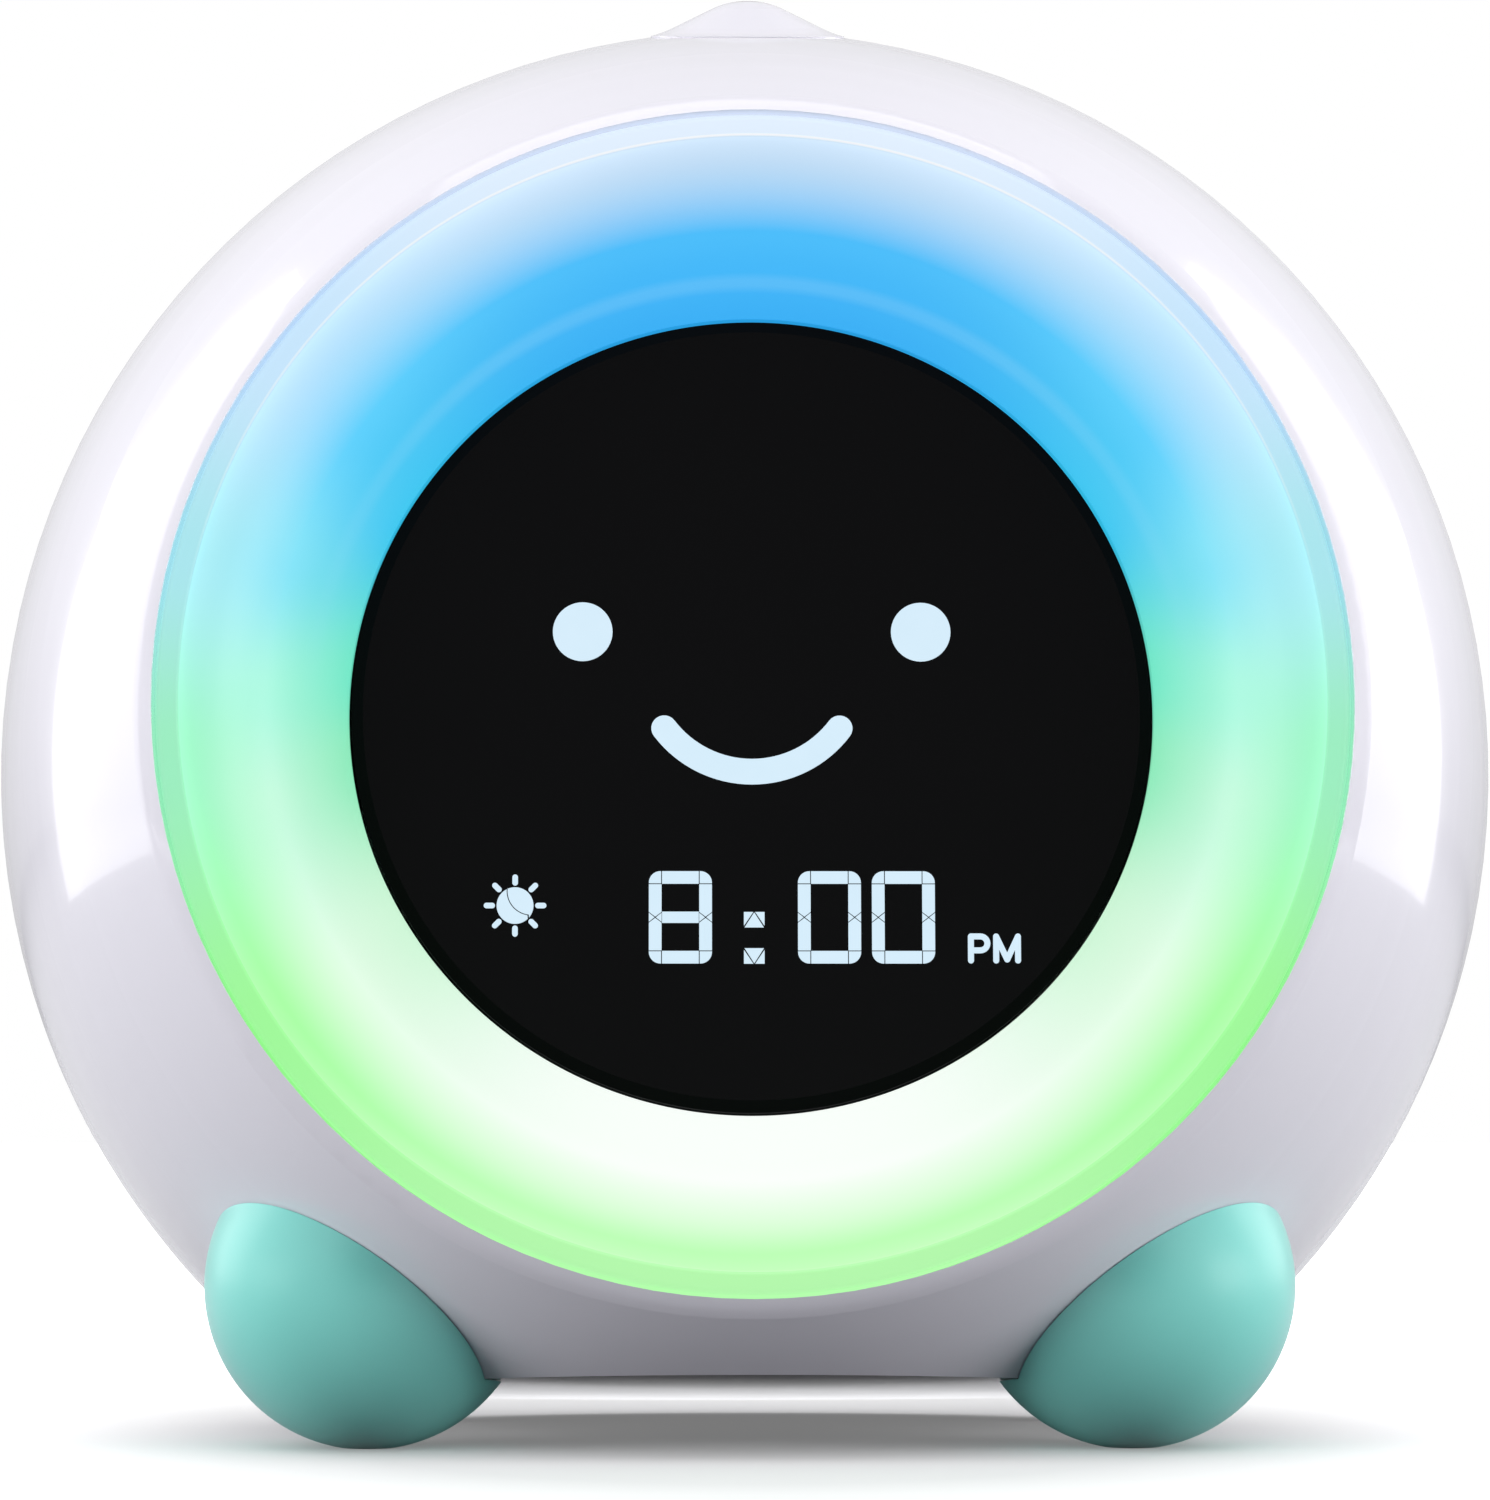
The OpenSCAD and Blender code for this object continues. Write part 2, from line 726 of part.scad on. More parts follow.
module display_ribbon() {
  color("#d9d2c0") in_case()
    translate([-ribbon_w / 2, ribbon_y - ribbon_t / 2, post_back_s])
      cube([ribbon_w, ribbon_t, display_board_back_s - post_back_s]);
}

// ---------- main board ----------

module main_board() {
  color(green) in_case() difference() {
    plate(main_board_w, main_board_h, 3, main_board_back_s, post_back_s);
    for (x = [-1, 1], y = [-1, 1]) translate([x * post_x, y * post_y, 0])
      disc(1.2, main_board_back_s - 1, post_back_s + 1);
  }
}

module board_parts() {
  color("#26272b") in_case() {
    part_on_board(14, 14, 1.4, 4, 4);
    part_on_board(8, 6, 1.6, -18, 10);
    part_on_board(8, 6, 1.6, -18, -4);
    part_on_board(12, 5, 6, 26, -20);
    part_on_board(12, 5, 6, -26, -22);
    for (x = [20, 29]) translate([x, 14, 0]) disc(3.1, main_board_back_s - 8, main_board_back_s);
  }
}

module part_on_board(w, h, t, x, y) {
  translate([x, y, 0]) plate(w, h, 0.4, main_board_back_s - t, main_board_back_s);
}

module board_screws() {
  color(steel) in_case() for (x = [-1, 1], y = [-1, 1])
    translate([x * post_x, y * post_y, main_board_back_s]) rotate([180, 0, 0])
      pan_screw(0.85, 2, 1.3, board_t + 5);
}

// ---------- top button ----------

module top_button() {
  color(white) in_case() at_button() difference() {
    union() {
      rotate_extrude() {
        // skirt, with the bell above it: flare, straight slope and crown
        translate([0, -skirt_h]) square([button_r, skirt_h + 0.01]);
        difference() {
          polygon([[0, 0], [button_r, 0], [flare_end_r, flare_end_h], [crown_end_r, crown_end_h],
                   [0, crown_end_h]]);
          translate([flare_cr, flare_ch]) circle(r = flare_r, $fn = 160);
        }
        intersection() {
          translate([0, button_h - crown_r]) circle(r = crown_r, $fn = 160);
          translate([0, crown_end_h - 0.01]) square([crown_end_r, crown_r]);
        }
      }
      disc(stem_r, stem_end_h, 0);
    }
    // neck for the clip
    tube(stem_r + 1, stem_r - 0.6, well_under_h - fit - clip_t, well_under_h - fit);
  }
}

module button_clip() {
  color(steel) in_case() at_button() difference() {
    disc(clip_r, well_under_h - fit - clip_t + 0.05, well_under_h - fit - 0.05);
    disc(stem_r - 0.55, well_under_h - 5, well_under_h);
    translate([0, -1, well_under_h - 5]) cube([20, 2, 5]);
  }
}

// Push switch, standing on the plane z = 0
module push_switch() {
  translate([-3, -3, 0]) cube([6, 6, switch_h]);
  translate([0, 0, switch_h]) cylinder(r = 1.7, h = switch_plunger_h);
}

module button_switch() {
  color("#2b2b2f") in_case() at_button() at_s(bracket_h + bracket_t) push_switch();
}

module switch_bracket() {
  color(green) in_case() at_button() difference() {
    plate(2 * bracket_x + 8, 11, 2, bracket_h, bracket_h + bracket_t);
    bracket_posts() disc(1, bracket_h - 1, bracket_h + bracket_t + 1);
  }
  color(steel) in_case() at_button() bracket_posts() at_s(bracket_h) rotate([180, 0, 0])
    pan_screw(0.85, 1.9, 1.2, 6);
}

// ---------- rear keys ----------

module at_key(side, i) {
  rotate(90 - side * (90 - i * key_step)) translate([key_ring_r, 0, 0]) children();
}

module key(side, i) {
  color("#e9e9ee") in_case() at_key(side, i) {
    rotate_extrude() difference() {
      union() {
        translate([0, rear_s - key_proud]) square([key_r, key_flange_s + 0.5 - rear_s + key_proud]);
        translate([0, key_flange_s]) square([key_flange_r, key_flange_t]);
        translate([0, key_flange_s]) square([1.6, key_stem_s - key_flange_s]);
      }
      mirror([0, 1]) corner_cut(key_r, key_proud - rear_s, 0.5);
      // finger dish
      translate([0, rear_s - key_proud - 14.6]) circle(r = 15, $fn = 120);
    }
  }
}

module left_key_low() { key(-1, 0); }
module left_key_mid() { key(-1, 1); }
module left_key_high() { key(-1, 2); }
module right_key_low() { key(1, 0); }
module right_key_mid() { key(1, 1); }
module right_key_high() { key(1, 2); }

// Board under the three keys of one side: a sector of a ring
module key_board_shape(side) {
  a0 = -key_board_end;
  a1 = 2 * key_step + key_board_end;
  intersection() {
    difference() {
      circle(r = key_board_out_r);
      circle(r = key_board_in_r);
    }
    rotate(90 - side * 90) scale_side(side)
      polygon([[0, 0], for (a = [a0, (a0 + a1) / 2, a1]) 90 * [cos(a), sin(a)]]);
  }
}

module scale_side(side) {
  mirror([0, side > 0 ? 0 : 1]) children();
}

module key_board_holes(side) {
  for (a = [-key_post_a, 2 * key_step + key_post_a]) rotate(90 - side * (90 - a))
    translate([key_ring_r + 3.2, 0, 0]) children();
}

module key_board_posts(side) {
  key_board_holes(side) disc(2.4, rear_in_s - 1, key_board_s);
}

module key_boards() {
  color(green) in_case() for (side = [-1, 1]) difference() {
    at_s(key_board_s) linear_extrude(board_t) key_board_shape(side);
    key_board_holes(side) disc(1, key_board_s - 1, key_board_s + 4);
  }
}

module key_switches() {
  color("#2b2b2f") in_case() for (side = [-1, 1], i = [0 : 2]) at_key(side, i)
    at_s(key_board_s) rotate([180, 0, 0]) push_switch();
}

module key_board_screws() {
  color(steel) in_case() for (side = [-1, 1]) key_board_holes(side)
    at_s(key_board_s + board_t) pan_screw(0.75, 1.8, 1.1, board_t + 3.5);
}

// ---------- speaker ----------

module at_speaker() { translate([0, speaker_up, speaker_s]) children(); }

module speaker_gasket() {
  color("#3a3a3c") in_case() at_speaker()
    tube(speaker_r, speaker_r - 2.6, -speaker_s + rear_in_s, 0);
}

module speaker_basket() {
  color(steel) in_case() at_speaker() difference() {
    rotate_extrude() polygon([[speaker_r - 1.8, 0], [speaker_r, 0], [speaker_r, 0.8],
      [speaker_r - 1.3, 0.8], [speaker_r * 0.55 + 0.6, speaker_h - 4], [4, speaker_h - 4],
      [4, speaker_h - 4.8], [speaker_r * 0.55, speaker_h - 4.8], [speaker_r - 1.8, 0.9]]);
    on_ring(speaker_r * 0.72, 4, 45) disc(2.2, 1, speaker_h);
  }
}

module speaker_cone() {
  color("#202022") in_case() at_speaker() rotate_extrude() polygon([[0, 1.6], [3.4, 1.2],
    [4.4, 3.4], [speaker_r - 4.2, 0.6], [speaker_r - 2.5, 0.3], [speaker_r - 2.5, 0.7],
    [speaker_r - 4, 1], [4.6, 3.9], [3.6, 3.9], [3, 1.7], [0, 2]]);
}

module speaker_magnet() {
  color("#6f7276") in_case() at_speaker() {
    disc(speaker_r * 0.5, speaker_h - 4, speaker_h - 0.8);
    disc(speaker_r * 0.44, speaker_h - 0.8, speaker_h);
  }
}

// ---------- battery bay ----------

module at_bay() { translate([0, -bay_drop, 0]) children(); }

module bay_frame() {
  at_bay() plate(door_w + 5, door_h + 7, 3, rear_in_s - 0.5, bay_frame_s);
  translate([0, ear_y, 0]) disc(ear_r + 1.6, rear_in_s - 0.5, bay_frame_s);
  translate([0, ear_y, 0]) disc(3.4, rear_in_s - 0.5, bay_frame_s + 2.4);
}

module door_outline(grow) {
  at_bay() rounded(door_w + 2 * grow, door_h + 2 * grow, 2.4);
  translate([0, ear_y]) circle(r = ear_r + grow);
  translate([-ear_r - grow, door_high_y - 3]) square([2 * (ear_r + grow), ear_y - door_high_y + 3]);
}

module door_recess() {
  at_s(rear_s - 1) linear_extrude(door_t + 1.05) door_outline(0.25);
  at_bay() plate(bay_len, bay_w, 1, rear_s, far);
  translate([0, ear_y, 0]) disc(1.6, rear_s, bay_frame_s + 1.8);
  // pockets behind the skin for the door's two tabs
  for (x = [-1, 1]) translate([x * tab_x - tab_w / 2 - run, door_low_y - pocket_r, rear_s + hinge_skin])
    cube([tab_w + 2 * run, 2 * pocket_r, pocket_r - hinge_skin]);
}

module battery_door() {
  color(white) in_case() {
    difference() {
      at_s(rear_s) linear_extrude(door_t) door_outline(0);
      // finger grooves
      for (i = [-2 : 2]) translate([0, -bay_drop + i * 2.4, rear_s - 0.1])
        translate([-7, -0.45, 0]) cube([14, 0.9, 0.6]);
      translate([0, ear_y, 0]) disc(1.45, rear_s - 1, far);
      translate([0, ear_y, 0]) disc(2.6, rear_s - 1, rear_s + 0.9);
    }
    for (x = [-1, 1]) translate([x * tab_x - tab_w / 2, door_low_y - tab_reach, rear_s + hinge_skin + 0.1])
      cube([tab_w, tab_reach + 0.5, door_t - hinge_skin - 0.1]);
  }
}

module door_screw() {
  color(steel) in_case() translate([0, ear_y, rear_s + 0.9]) rotate([180, 0, 0])
    pan_screw(1.15, 2.4, 0.8, door_t + 1.4);
}

module battery_box() {
  color("#d8d8dc") in_case() at_bay() difference() {
    plate(bay_len + 2 * box_t, bay_w + 2 * box_t, 1.5, bay_frame_s + 0.05, box_back_s);
    plate(bay_len, bay_w, 0.8, bay_frame_s - 1, box_floor_s);
    // lead holes
    for (x = [-1, 1]) translate([x * (bay_len / 2 - 1.5), 0, 0]) disc(1, box_floor_s - 1, far);
  }
}

// Frame of cell number i, along +X from the middle of the bay
module at_cell(i) {
  translate([0, -bay_drop + (i - (cell_count - 1) / 2) * 2 * (cell_r + 0.1), cell_s])
    rotate(i % 2 * 180) rotate([0, 90, 0]) children();
}

module battery_cells() {
  in_case() for (i = [0 : cell_count - 1]) at_cell(i) translate([0, 0, -bay_len / 2 + 4.6]) {
    color("#c8a24a") cylinder(r = cell_r, h = cell_len - 0.8);
    color(steel) translate([0, 0, cell_len - 0.8]) cylinder(r = 1.9, h = 0.8);
  }
}

module battery_plates() {
  color(steel) in_case() for (i = [0 : cell_count - 1]) at_cell(i) {
    translate([-cell_r + 0.5, -cell_r + 0.5, bay_len / 2 - 0.45])
      cube([2 * cell_r - 1, 2 * cell_r - 1, 0.4]);
    translate([-cell_r + 0.5, -cell_r + 0.5, -bay_len / 2 + 0.05])
      cube([2 * cell_r - 1, 2 * cell_r - 1, 0.4]);
  }
}

// Conical coil spring: a wire of six sides swept along a helix
module coil(r0, r1, h, wire, turns) {
  steps = turns * 14;
  sides = 6;
  function centre(i) = let (t = i / steps, a = t * turns * 360, r = r0 + (r1 - r0) * t)
    [r * cos(a), r * sin(a), wire + (h - 2 * wire) * t];
  pts = [for (i = [0 : steps], k = [0 : sides - 1])
    let (a = i / steps * turns * 360, b = k * 360 / sides)
      centre(i) + wire * [cos(b) * cos(a), cos(b) * sin(a), sin(b)]];
  faces = concat([[for (k = [0 : sides - 1]) k]],
    [for (i = [0 : steps - 1], k = [0 : sides - 1]) let (n = (k + 1) % sides)
      [i * sides + k, (i + 1) * sides + k, (i + 1) * sides + n, i * sides + n]],
    [[for (k = [sides - 1 : -1 : 0]) steps * sides + k]]);
  polyhedron(pts, faces);
}

module battery_springs() {
  color("#c9ccd0") in_case() for (i = [0 : cell_count - 1]) at_cell(i)
    translate([0, 0, -bay_len / 2 + 0.5]) coil(3.6, 2, 4.05, 0.3, 4);
}

// ---------- power inlet ----------

module at_socket() { translate([socket_x, socket_y, 0]) children(); }

module power_slot() {
  at_socket() plate(socket_w + 0.6, socket_h + 0.6, socket_h / 2, rear_s - 1, far);
}

module power_socket() {
  color(steel) in_case() at_socket() {
    difference() {
      plate(socket_w, socket_h, socket_h / 2 - 0.1, rear_s + 0.3, rear_s + 0.3 + socket_len);
      plate(socket_w - 0.6, socket_h - 0.6, socket_h / 2 - 0.4, rear_s, rear_s + socket_len - 0.6);
    }
    plate(6.6, 0.7, 0.3, rear_s + 1.2, rear_s + socket_len);
  }
}

module power_board() {
  color(green) in_case() at_socket()
    translate([-power_board_w / 2, -socket_h / 2 - board_t, rear_in_s + 0.1])
      cube([power_board_w, board_t, power_board_len]);
}

// Two grooved rails that hold the power board at its edges
module power_board_posts() {
  at_socket() for (x = [-1, 1]) difference() {
    translate([x * power_board_w / 2 - 1.6, -socket_h / 2 - board_t - 1.4, rear_in_s - 1])
      cube([3.2, board_t + 2.8, power_board_len * 0.7]);
    translate([-power_board_w / 2 - 0.1, -socket_h / 2 - board_t - 0.1, rear_in_s])
      cube([power_board_w + 0.2, board_t + 0.2, far]);
  }
}

// ---------- joining the case ----------

module case_screws() {
  color(steel) in_case() for (a = tower_a) rotate(a) translate([tower_r, 0, head_seat_s])
    rotate([180, 0, 0]) pan_screw(tower_bore_r, case_screw_head_r, 2, case_screw_len);
}

module foot(side) {
  color(mint) difference() {
    translate([side * foot_x, -foot_front, foot_r - foot_flat]) sphere(r = foot_r, $fn = 120);
    in_case() case_solid(-fit, -split_back, far);
    translate([-far / 2, -far / 2, -far]) cube(far);
    in_case() at_foot_screw(side) translate([0, 0, -12]) cylinder(r = 1.5, h = 20);
  }
}

module left_foot() { foot(-1); }
module right_foot() { foot(1); }

module foot_screws() {
  color(steel) in_case() for (side = [-1, 1]) at_foot_screw(side) pan_screw(1.45, 3, 1.8, 10);
}

module rear_pads() {
  color("#4a4a4e") difference() {
    in_case() for (x = [-1, 1]) at_pad(x) cylinder(r = pad_r, h = 12);
    translate([-far / 2, -far / 2, -far]) cube(far);
  }
}

front_shell();
rear_shell();
light_ring();
ring_reflector();
ring_screws();
lamp_board();
lamps();
display_lens();
display_cup();
segment_mask();
segment_lights();
display_board();
display_ribbon();
main_board();
board_parts();
board_screws();
top_button();
button_clip();
button_switch();
switch_bracket();
left_key_low();
left_key_mid();
left_key_high();
right_key_low();
right_key_mid();
right_key_high();
key_boards();
key_switches();
key_board_screws();
speaker_basket();
speaker_cone();
speaker_magnet();
speaker_gasket();
battery_box();
battery_cells();
battery_plates();
battery_springs();
battery_door();
door_screw();
power_socket();
power_board();
case_screws();
left_foot();
right_foot();
foot_screws();
rear_pads();
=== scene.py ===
import math
import bpy
from mathutils import Matrix, Vector


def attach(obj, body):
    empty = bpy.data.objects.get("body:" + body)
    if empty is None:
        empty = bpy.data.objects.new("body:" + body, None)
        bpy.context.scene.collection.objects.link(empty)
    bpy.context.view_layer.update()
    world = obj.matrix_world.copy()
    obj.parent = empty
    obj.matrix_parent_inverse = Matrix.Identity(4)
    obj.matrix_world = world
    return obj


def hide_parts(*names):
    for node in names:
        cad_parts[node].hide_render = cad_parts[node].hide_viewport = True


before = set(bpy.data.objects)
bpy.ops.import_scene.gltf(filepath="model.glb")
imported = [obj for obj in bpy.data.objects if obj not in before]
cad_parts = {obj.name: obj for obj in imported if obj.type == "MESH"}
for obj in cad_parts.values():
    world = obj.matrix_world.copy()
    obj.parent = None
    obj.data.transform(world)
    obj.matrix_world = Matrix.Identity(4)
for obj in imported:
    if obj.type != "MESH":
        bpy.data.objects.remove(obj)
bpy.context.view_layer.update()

# ---------------------------------------------------------------- the object's own numbers, in mm
# The round case has an axis that points forward and, as the case leans back, a little up.
# _R is a distance from that axis, _S a place along it, _T a thickness, _W a width, _H a height.
MM = 0.001
LEAN = 5.0                                    # degrees
CASE_Y, AXIS_H = 12.6895, 69.7317             # where the axis starts: depth and height
RING_R, RIM_S, SKIRT_T, FLANGE_W = 58.878, 58.1486, 1.7, 3.3
DISH_R, DISH_CR, DISH_CS, DISH_FLOOR_S = 11.2, 45.378, 57.6486, 46.4486   # curve, centre, foot
FLANGE_S, RING_T, BORE_R = 50.6486, 2.0, 40.5
LENS_R, LENS_FRONT_S, LENS_BACK_S = 40.2, 47.0486, 44.0486

TURN = math.radians(90 - LEAN)
CASE = Matrix.Translation((0, CASE_Y * MM, AXIS_H * MM)) @ Matrix.Rotation(TURN, 4, "X")

TURN_STEPS = 360                              # faces round a turned piece
SHARP_ANGLE = math.radians(30.0)              # steeper edges stay sharp


# ---------------------------------------------------------------- meshes
def new_mesh(name, verts, faces, place=CASE, smooth=True):
    mesh = bpy.data.meshes.new(name)
    mesh.from_pydata([place @ (Vector(v) * MM) for v in verts], [], faces)
    mesh.update()
    obj = bpy.data.objects.new(name, mesh)
    bpy.context.scene.collection.objects.link(obj)
    if smooth:
        mesh.polygons.foreach_set("use_smooth", [True] * len(mesh.polygons))
        mesh.set_sharp_from_angle(angle=SHARP_ANGLE)
    return obj


def lathe(name, profile):
    """Turns a closed outline of (radius, height) about the case's axis."""
    n = len(profile)
    verts, faces = [], []
    for i in range(TURN_STEPS):
        a = 2 * math.pi * i / TURN_STEPS
        verts += [(r * math.cos(a), r * math.sin(a), s) for r, s in profile]
    for i in range(TURN_STEPS):
        j = (i + 1) % TURN_STEPS
        for k in range(n):
            m = (k + 1) % n
            faces.append((i * n + k, j * n + k, j * n + m, i * n + m))
    return new_mesh(name, verts, faces)


def arc(cx, cy, r, a0, a1, steps):
    """Points of an arc from a0 to a1, in degrees."""
    angles = [math.radians(a0 + (a1 - a0) * i / steps) for i in range(steps + 1)]
    return [(cx + r * math.cos(a), cy + r * math.sin(a)) for a in angles]


# ---------------------------------------------------------------- materials
BUMP_DEPTH = 0.0001                           # metres
MIX_FACTOR, MIX_A, MIX_B, MIX_RESULT = 0, 6, 7, 2   # a Mix node's sockets for colours


class Shade:
    """A small helper round one material's node tree."""

    def __init__(self, name):
        self.material = bpy.data.materials.new(name)
        self.material.use_nodes = True
        self.tree = self.material.node_tree
        self.bsdf = self.tree.nodes["Principled BSDF"]

    def add(self, kind):
        return self.tree.nodes.new(kind)

    def node(self, kind, **inputs):
        made = self.add(kind)
        for key, value in inputs.items():
            self.put(made.inputs[key.replace("_", " ")], value)
        return made

    def put(self, socket, value):
        if isinstance(value, bpy.types.NodeSocket):
            self.tree.links.new(value, socket)
        else:
            socket.default_value = value

    def place(self):
        return self.add("ShaderNodeTexCoord").outputs["Object"]

    def math(self, operation, a, b=0.0):
        made = self.add("ShaderNodeMath")
        made.operation = operation
        self.put(made.inputs[0], a)
        self.put(made.inputs[1], b)
        return made.outputs[0]

    def mix(self, factor, a, b):
        made = self.add("ShaderNodeMix")
        made.data_type = "RGBA"
        self.put(made.inputs[MIX_FACTOR], factor)
        self.put(made.inputs[MIX_A], a)
        self.put(made.inputs[MIX_B], b)
        return made.outputs[MIX_RESULT]

    def join(self, kind, *inputs):
        """A node that joins shaders, with its inputs in their order."""
        made = self.add(kind)
        for socket, value in zip(made.inputs, inputs):
            self.put(socket, value)
        return made.outputs[0]

    def ramp(self, factor, stops, mode="LINEAR"):
        made = self.add("ShaderNodeValToRGB")
        made.color_ramp.interpolation = mode
        while len(made.color_ramp.elements) < len(stops):
            made.color_ramp.elements.new(0.5)
        for element, (at, colour) in zip(made.color_ramp.elements, stops):
            element.position = at
            element.color = colour
        self.put(made.inputs[0], factor)
        return made.outputs[0]

    def noise(self, scale, detail=2.0, rough=0.5):
        return self.node("ShaderNodeTexNoise", Vector=self.place(), Scale=scale, Detail=detail,
                         Roughness=rough).outputs[0]

    def rescale(self, value, low, high, to_low=0.0, to_high=1.0):
        made = self.add("ShaderNodeMapRange")
        self.put(made.inputs[0], value)
        for socket, number in zip(made.inputs[1:], (low, high, to_low, to_high)):
            socket.default_value = number
        return made.outputs[0]

    def bump(self, height, strength):
        made = self.node("ShaderNodeBump", Height=height, Strength=strength, Distance=BUMP_DEPTH)
        self.put(self.bsdf.inputs["Normal"], made.outputs[0])

    def set(self, **values):
        for key, value in values.items():
            self.put(self.bsdf.inputs[key.replace("_", " ")], value)


def rgb(text):
    """A colour written as the screen shows it, as linear light."""
    parts = [int(text[i:i + 2], 16) / 255 for i in (0, 2, 4)]
    linear = [c / 12.92 if c <= 0.04045 else ((c + 0.055) / 1.055) ** 2.4 for c in parts]
    return tuple(linear) + (1.0,)


def grey(level, blue=None):
    """A grey in linear light, with a blue part of its own if one is given."""
    return (level, level, level if blue is None else blue, 1.0)


def shift(colour, amount):
    return tuple(min(1.0, max(0.0, c * amount)) for c in colour[:3]) + (1.0,)


# Noise: its scale, with detail and roughness where they aren't the usual ones. A range is the part
# of the noise that is used, and a spread is what it does to the roughness, as shares of it.
FLOW, GLOSS, GLOSS_RANGE, GLOSS_SPREAD = (22.0, 3.0), (60.0,), (0.3, 0.7), (0.9, 1.1)
METAL_GRAIN, METAL_RANGE, METAL_SPREAD = (500.0, 4.0, 0.6), (0.2, 0.8), (0.75, 1.3)
METAL_VARY, METAL_BUMP = 0.12, 0.1


def moulded(name, colour, rough=0.3, vary=0.03, grain=900.0, bump=0.04, coat=0.0, coat_rough=0.05,
            ior=1.5):
    """Moulded plastic or rubber: a faint flow of tone, uneven gloss and a fine grain."""
    s = Shade(name)
    low, high = (rough * share for share in GLOSS_SPREAD)
    s.set(Base_Color=s.mix(s.noise(*FLOW), shift(colour, 1 - vary), shift(colour, 1 + vary)),
          Roughness=s.rescale(s.noise(*GLOSS), *GLOSS_RANGE, low, high), IOR=ior,
          Coat_Weight=coat, Coat_Roughness=coat_rough)
    s.bump(s.noise(grain), bump)
    return s.material


def metal(name, colour, rough):
    s = Shade(name)
    grain = s.noise(*METAL_GRAIN)
    low, high = (rough * share for share in METAL_SPREAD)
    s.set(Base_Color=s.mix(grain, shift(colour, 1 - METAL_VARY), shift(colour, 1 + METAL_VARY)),
          Metallic=1.0, Roughness=s.rescale(grain, *METAL_RANGE, low, high))
    s.bump(grain, METAL_BUMP)
    return s.material


TRACK_SCALE, TRACK_W, TRACK_SHIFT = 90.0, 0.05, 1.12
WEAVE_SCALE, WEAVE_BUMP = 700.0, 0.08
PAD_SCALE, PAD_R, PAD_GOLD = 260.0, 0.16, rgb("c9b37a")
LACQUER, LACQUER_ROUGH, BOARD_ROUGH, PAD_ROUGH = 0.5, 0.1, 0.32, 0.2


def circuit(name, colour, trace):
    """A lacquered board with tracks, pads and a fibre weave under the lacquer."""
    s = Shade(name)
    place = s.place()
    brick = s.node("ShaderNodeTexBrick", Vector=place, Scale=TRACK_SCALE, Color1=colour,
                   Color2=shift(colour, TRACK_SHIFT), Mortar=trace, Mortar_Size=TRACK_W)
    weave = s.node("ShaderNodeTexVoronoi", Vector=place, Scale=WEAVE_SCALE)
    pads = s.node("ShaderNodeTexVoronoi", Vector=place, Scale=PAD_SCALE)
    dots = s.math("LESS_THAN", pads.outputs["Distance"], PAD_R)
    s.set(Base_Color=s.mix(dots, brick.outputs[0], PAD_GOLD),
          Roughness=s.rescale(dots, 0, 1, BOARD_ROUGH, PAD_ROUGH),
          Coat_Weight=LACQUER, Coat_Roughness=LACQUER_ROUGH)
    s.bump(weave.outputs["Distance"], WEAVE_BUMP)
    return s.material


def case_axes(s):
    """Sockets for the height over the case's axis and the distance from it, in metres."""
    place = s.place()
    turn = s.add("ShaderNodeMapping")
    turn.vector_type = "TEXTURE"
    turn.inputs["Location"].default_value = (0, CASE_Y * MM, AXIS_H * MM)
    turn.inputs["Rotation"].default_value = (TURN, 0, 0)
    s.put(turn.inputs["Vector"], place)
    x, v, _ = s.node("ShaderNodeSeparateXYZ", Vector=turn.outputs[0]).outputs
    square = s.math("ADD", s.math("MULTIPLY", x, x), s.math("MULTIPLY", v, v))
    return v, s.math("SQRT", square)


# The ring's tones from its foot (0) to its top (1), for three zones from the window outwards.
INNER_TONES = [(0.00, "fbfffc"), (0.24, "d2fadb"), (0.44, "90f0c0"), (0.55, "74eecc"),
               (0.74, "38ccf6"), (1.00, "2eb0f8")]
CORE_TONES = [(0.00, "fbfffb"), (0.20, "eaffec"), (0.40, "ccfde3"), (0.52, "b0fce4"),
              (0.66, "84e6fb"), (0.80, "58d2ff"), (1.00, "44c0ff")]
RIM_TONES = [(0.00, "b2f8aa"), (0.22, "9ef998"), (0.45, "9aeec0"), (0.62, "a8e6ee"),
             (0.80, "c6e6fd"), (1.00, "e2f0ff")]
# Where one zone turns into the next, as distances from the axis in metres.
INNER_TO_CORE, CORE_TO_RIM = (0.0405, 0.0490), (0.0470, 0.0545)
RIM_RISE = 0.0025                             # the rim's zone starts so much further out at the top
# Two painted highlights on the ring, a faint one on the crease low in the dish and one on the edge
# of
# dish and rim: place and reach in metres, the heights from 0 to 1 between which each comes in, its
# most, its tone.
CREASE_HIGHLIGHT = 0.0443, (0.0003, 0.0011), (0.5, 0.9), 0.15, rgb("a4e4ff")
EDGE_HIGHLIGHT = 0.05675, (0.00003, 0.00016), (0.6, 1.0), 0.8, grey(1.0)
# Painted shade: further in than this band the ring is dark (RING_UNLIT) and gives no light, where it
# meets the window.
SEAT_SHADE_BAND = (0.0402, 0.0404)                  # unlit further in, where the ring meets the window
RING_GLOW, RING_TINT, RING_UNLIT, RING_ROUGH = 0.78, 0.25, grey(0.02), 0.42
RING_GRAIN, RING_BUMP = 1200.0, 0.03


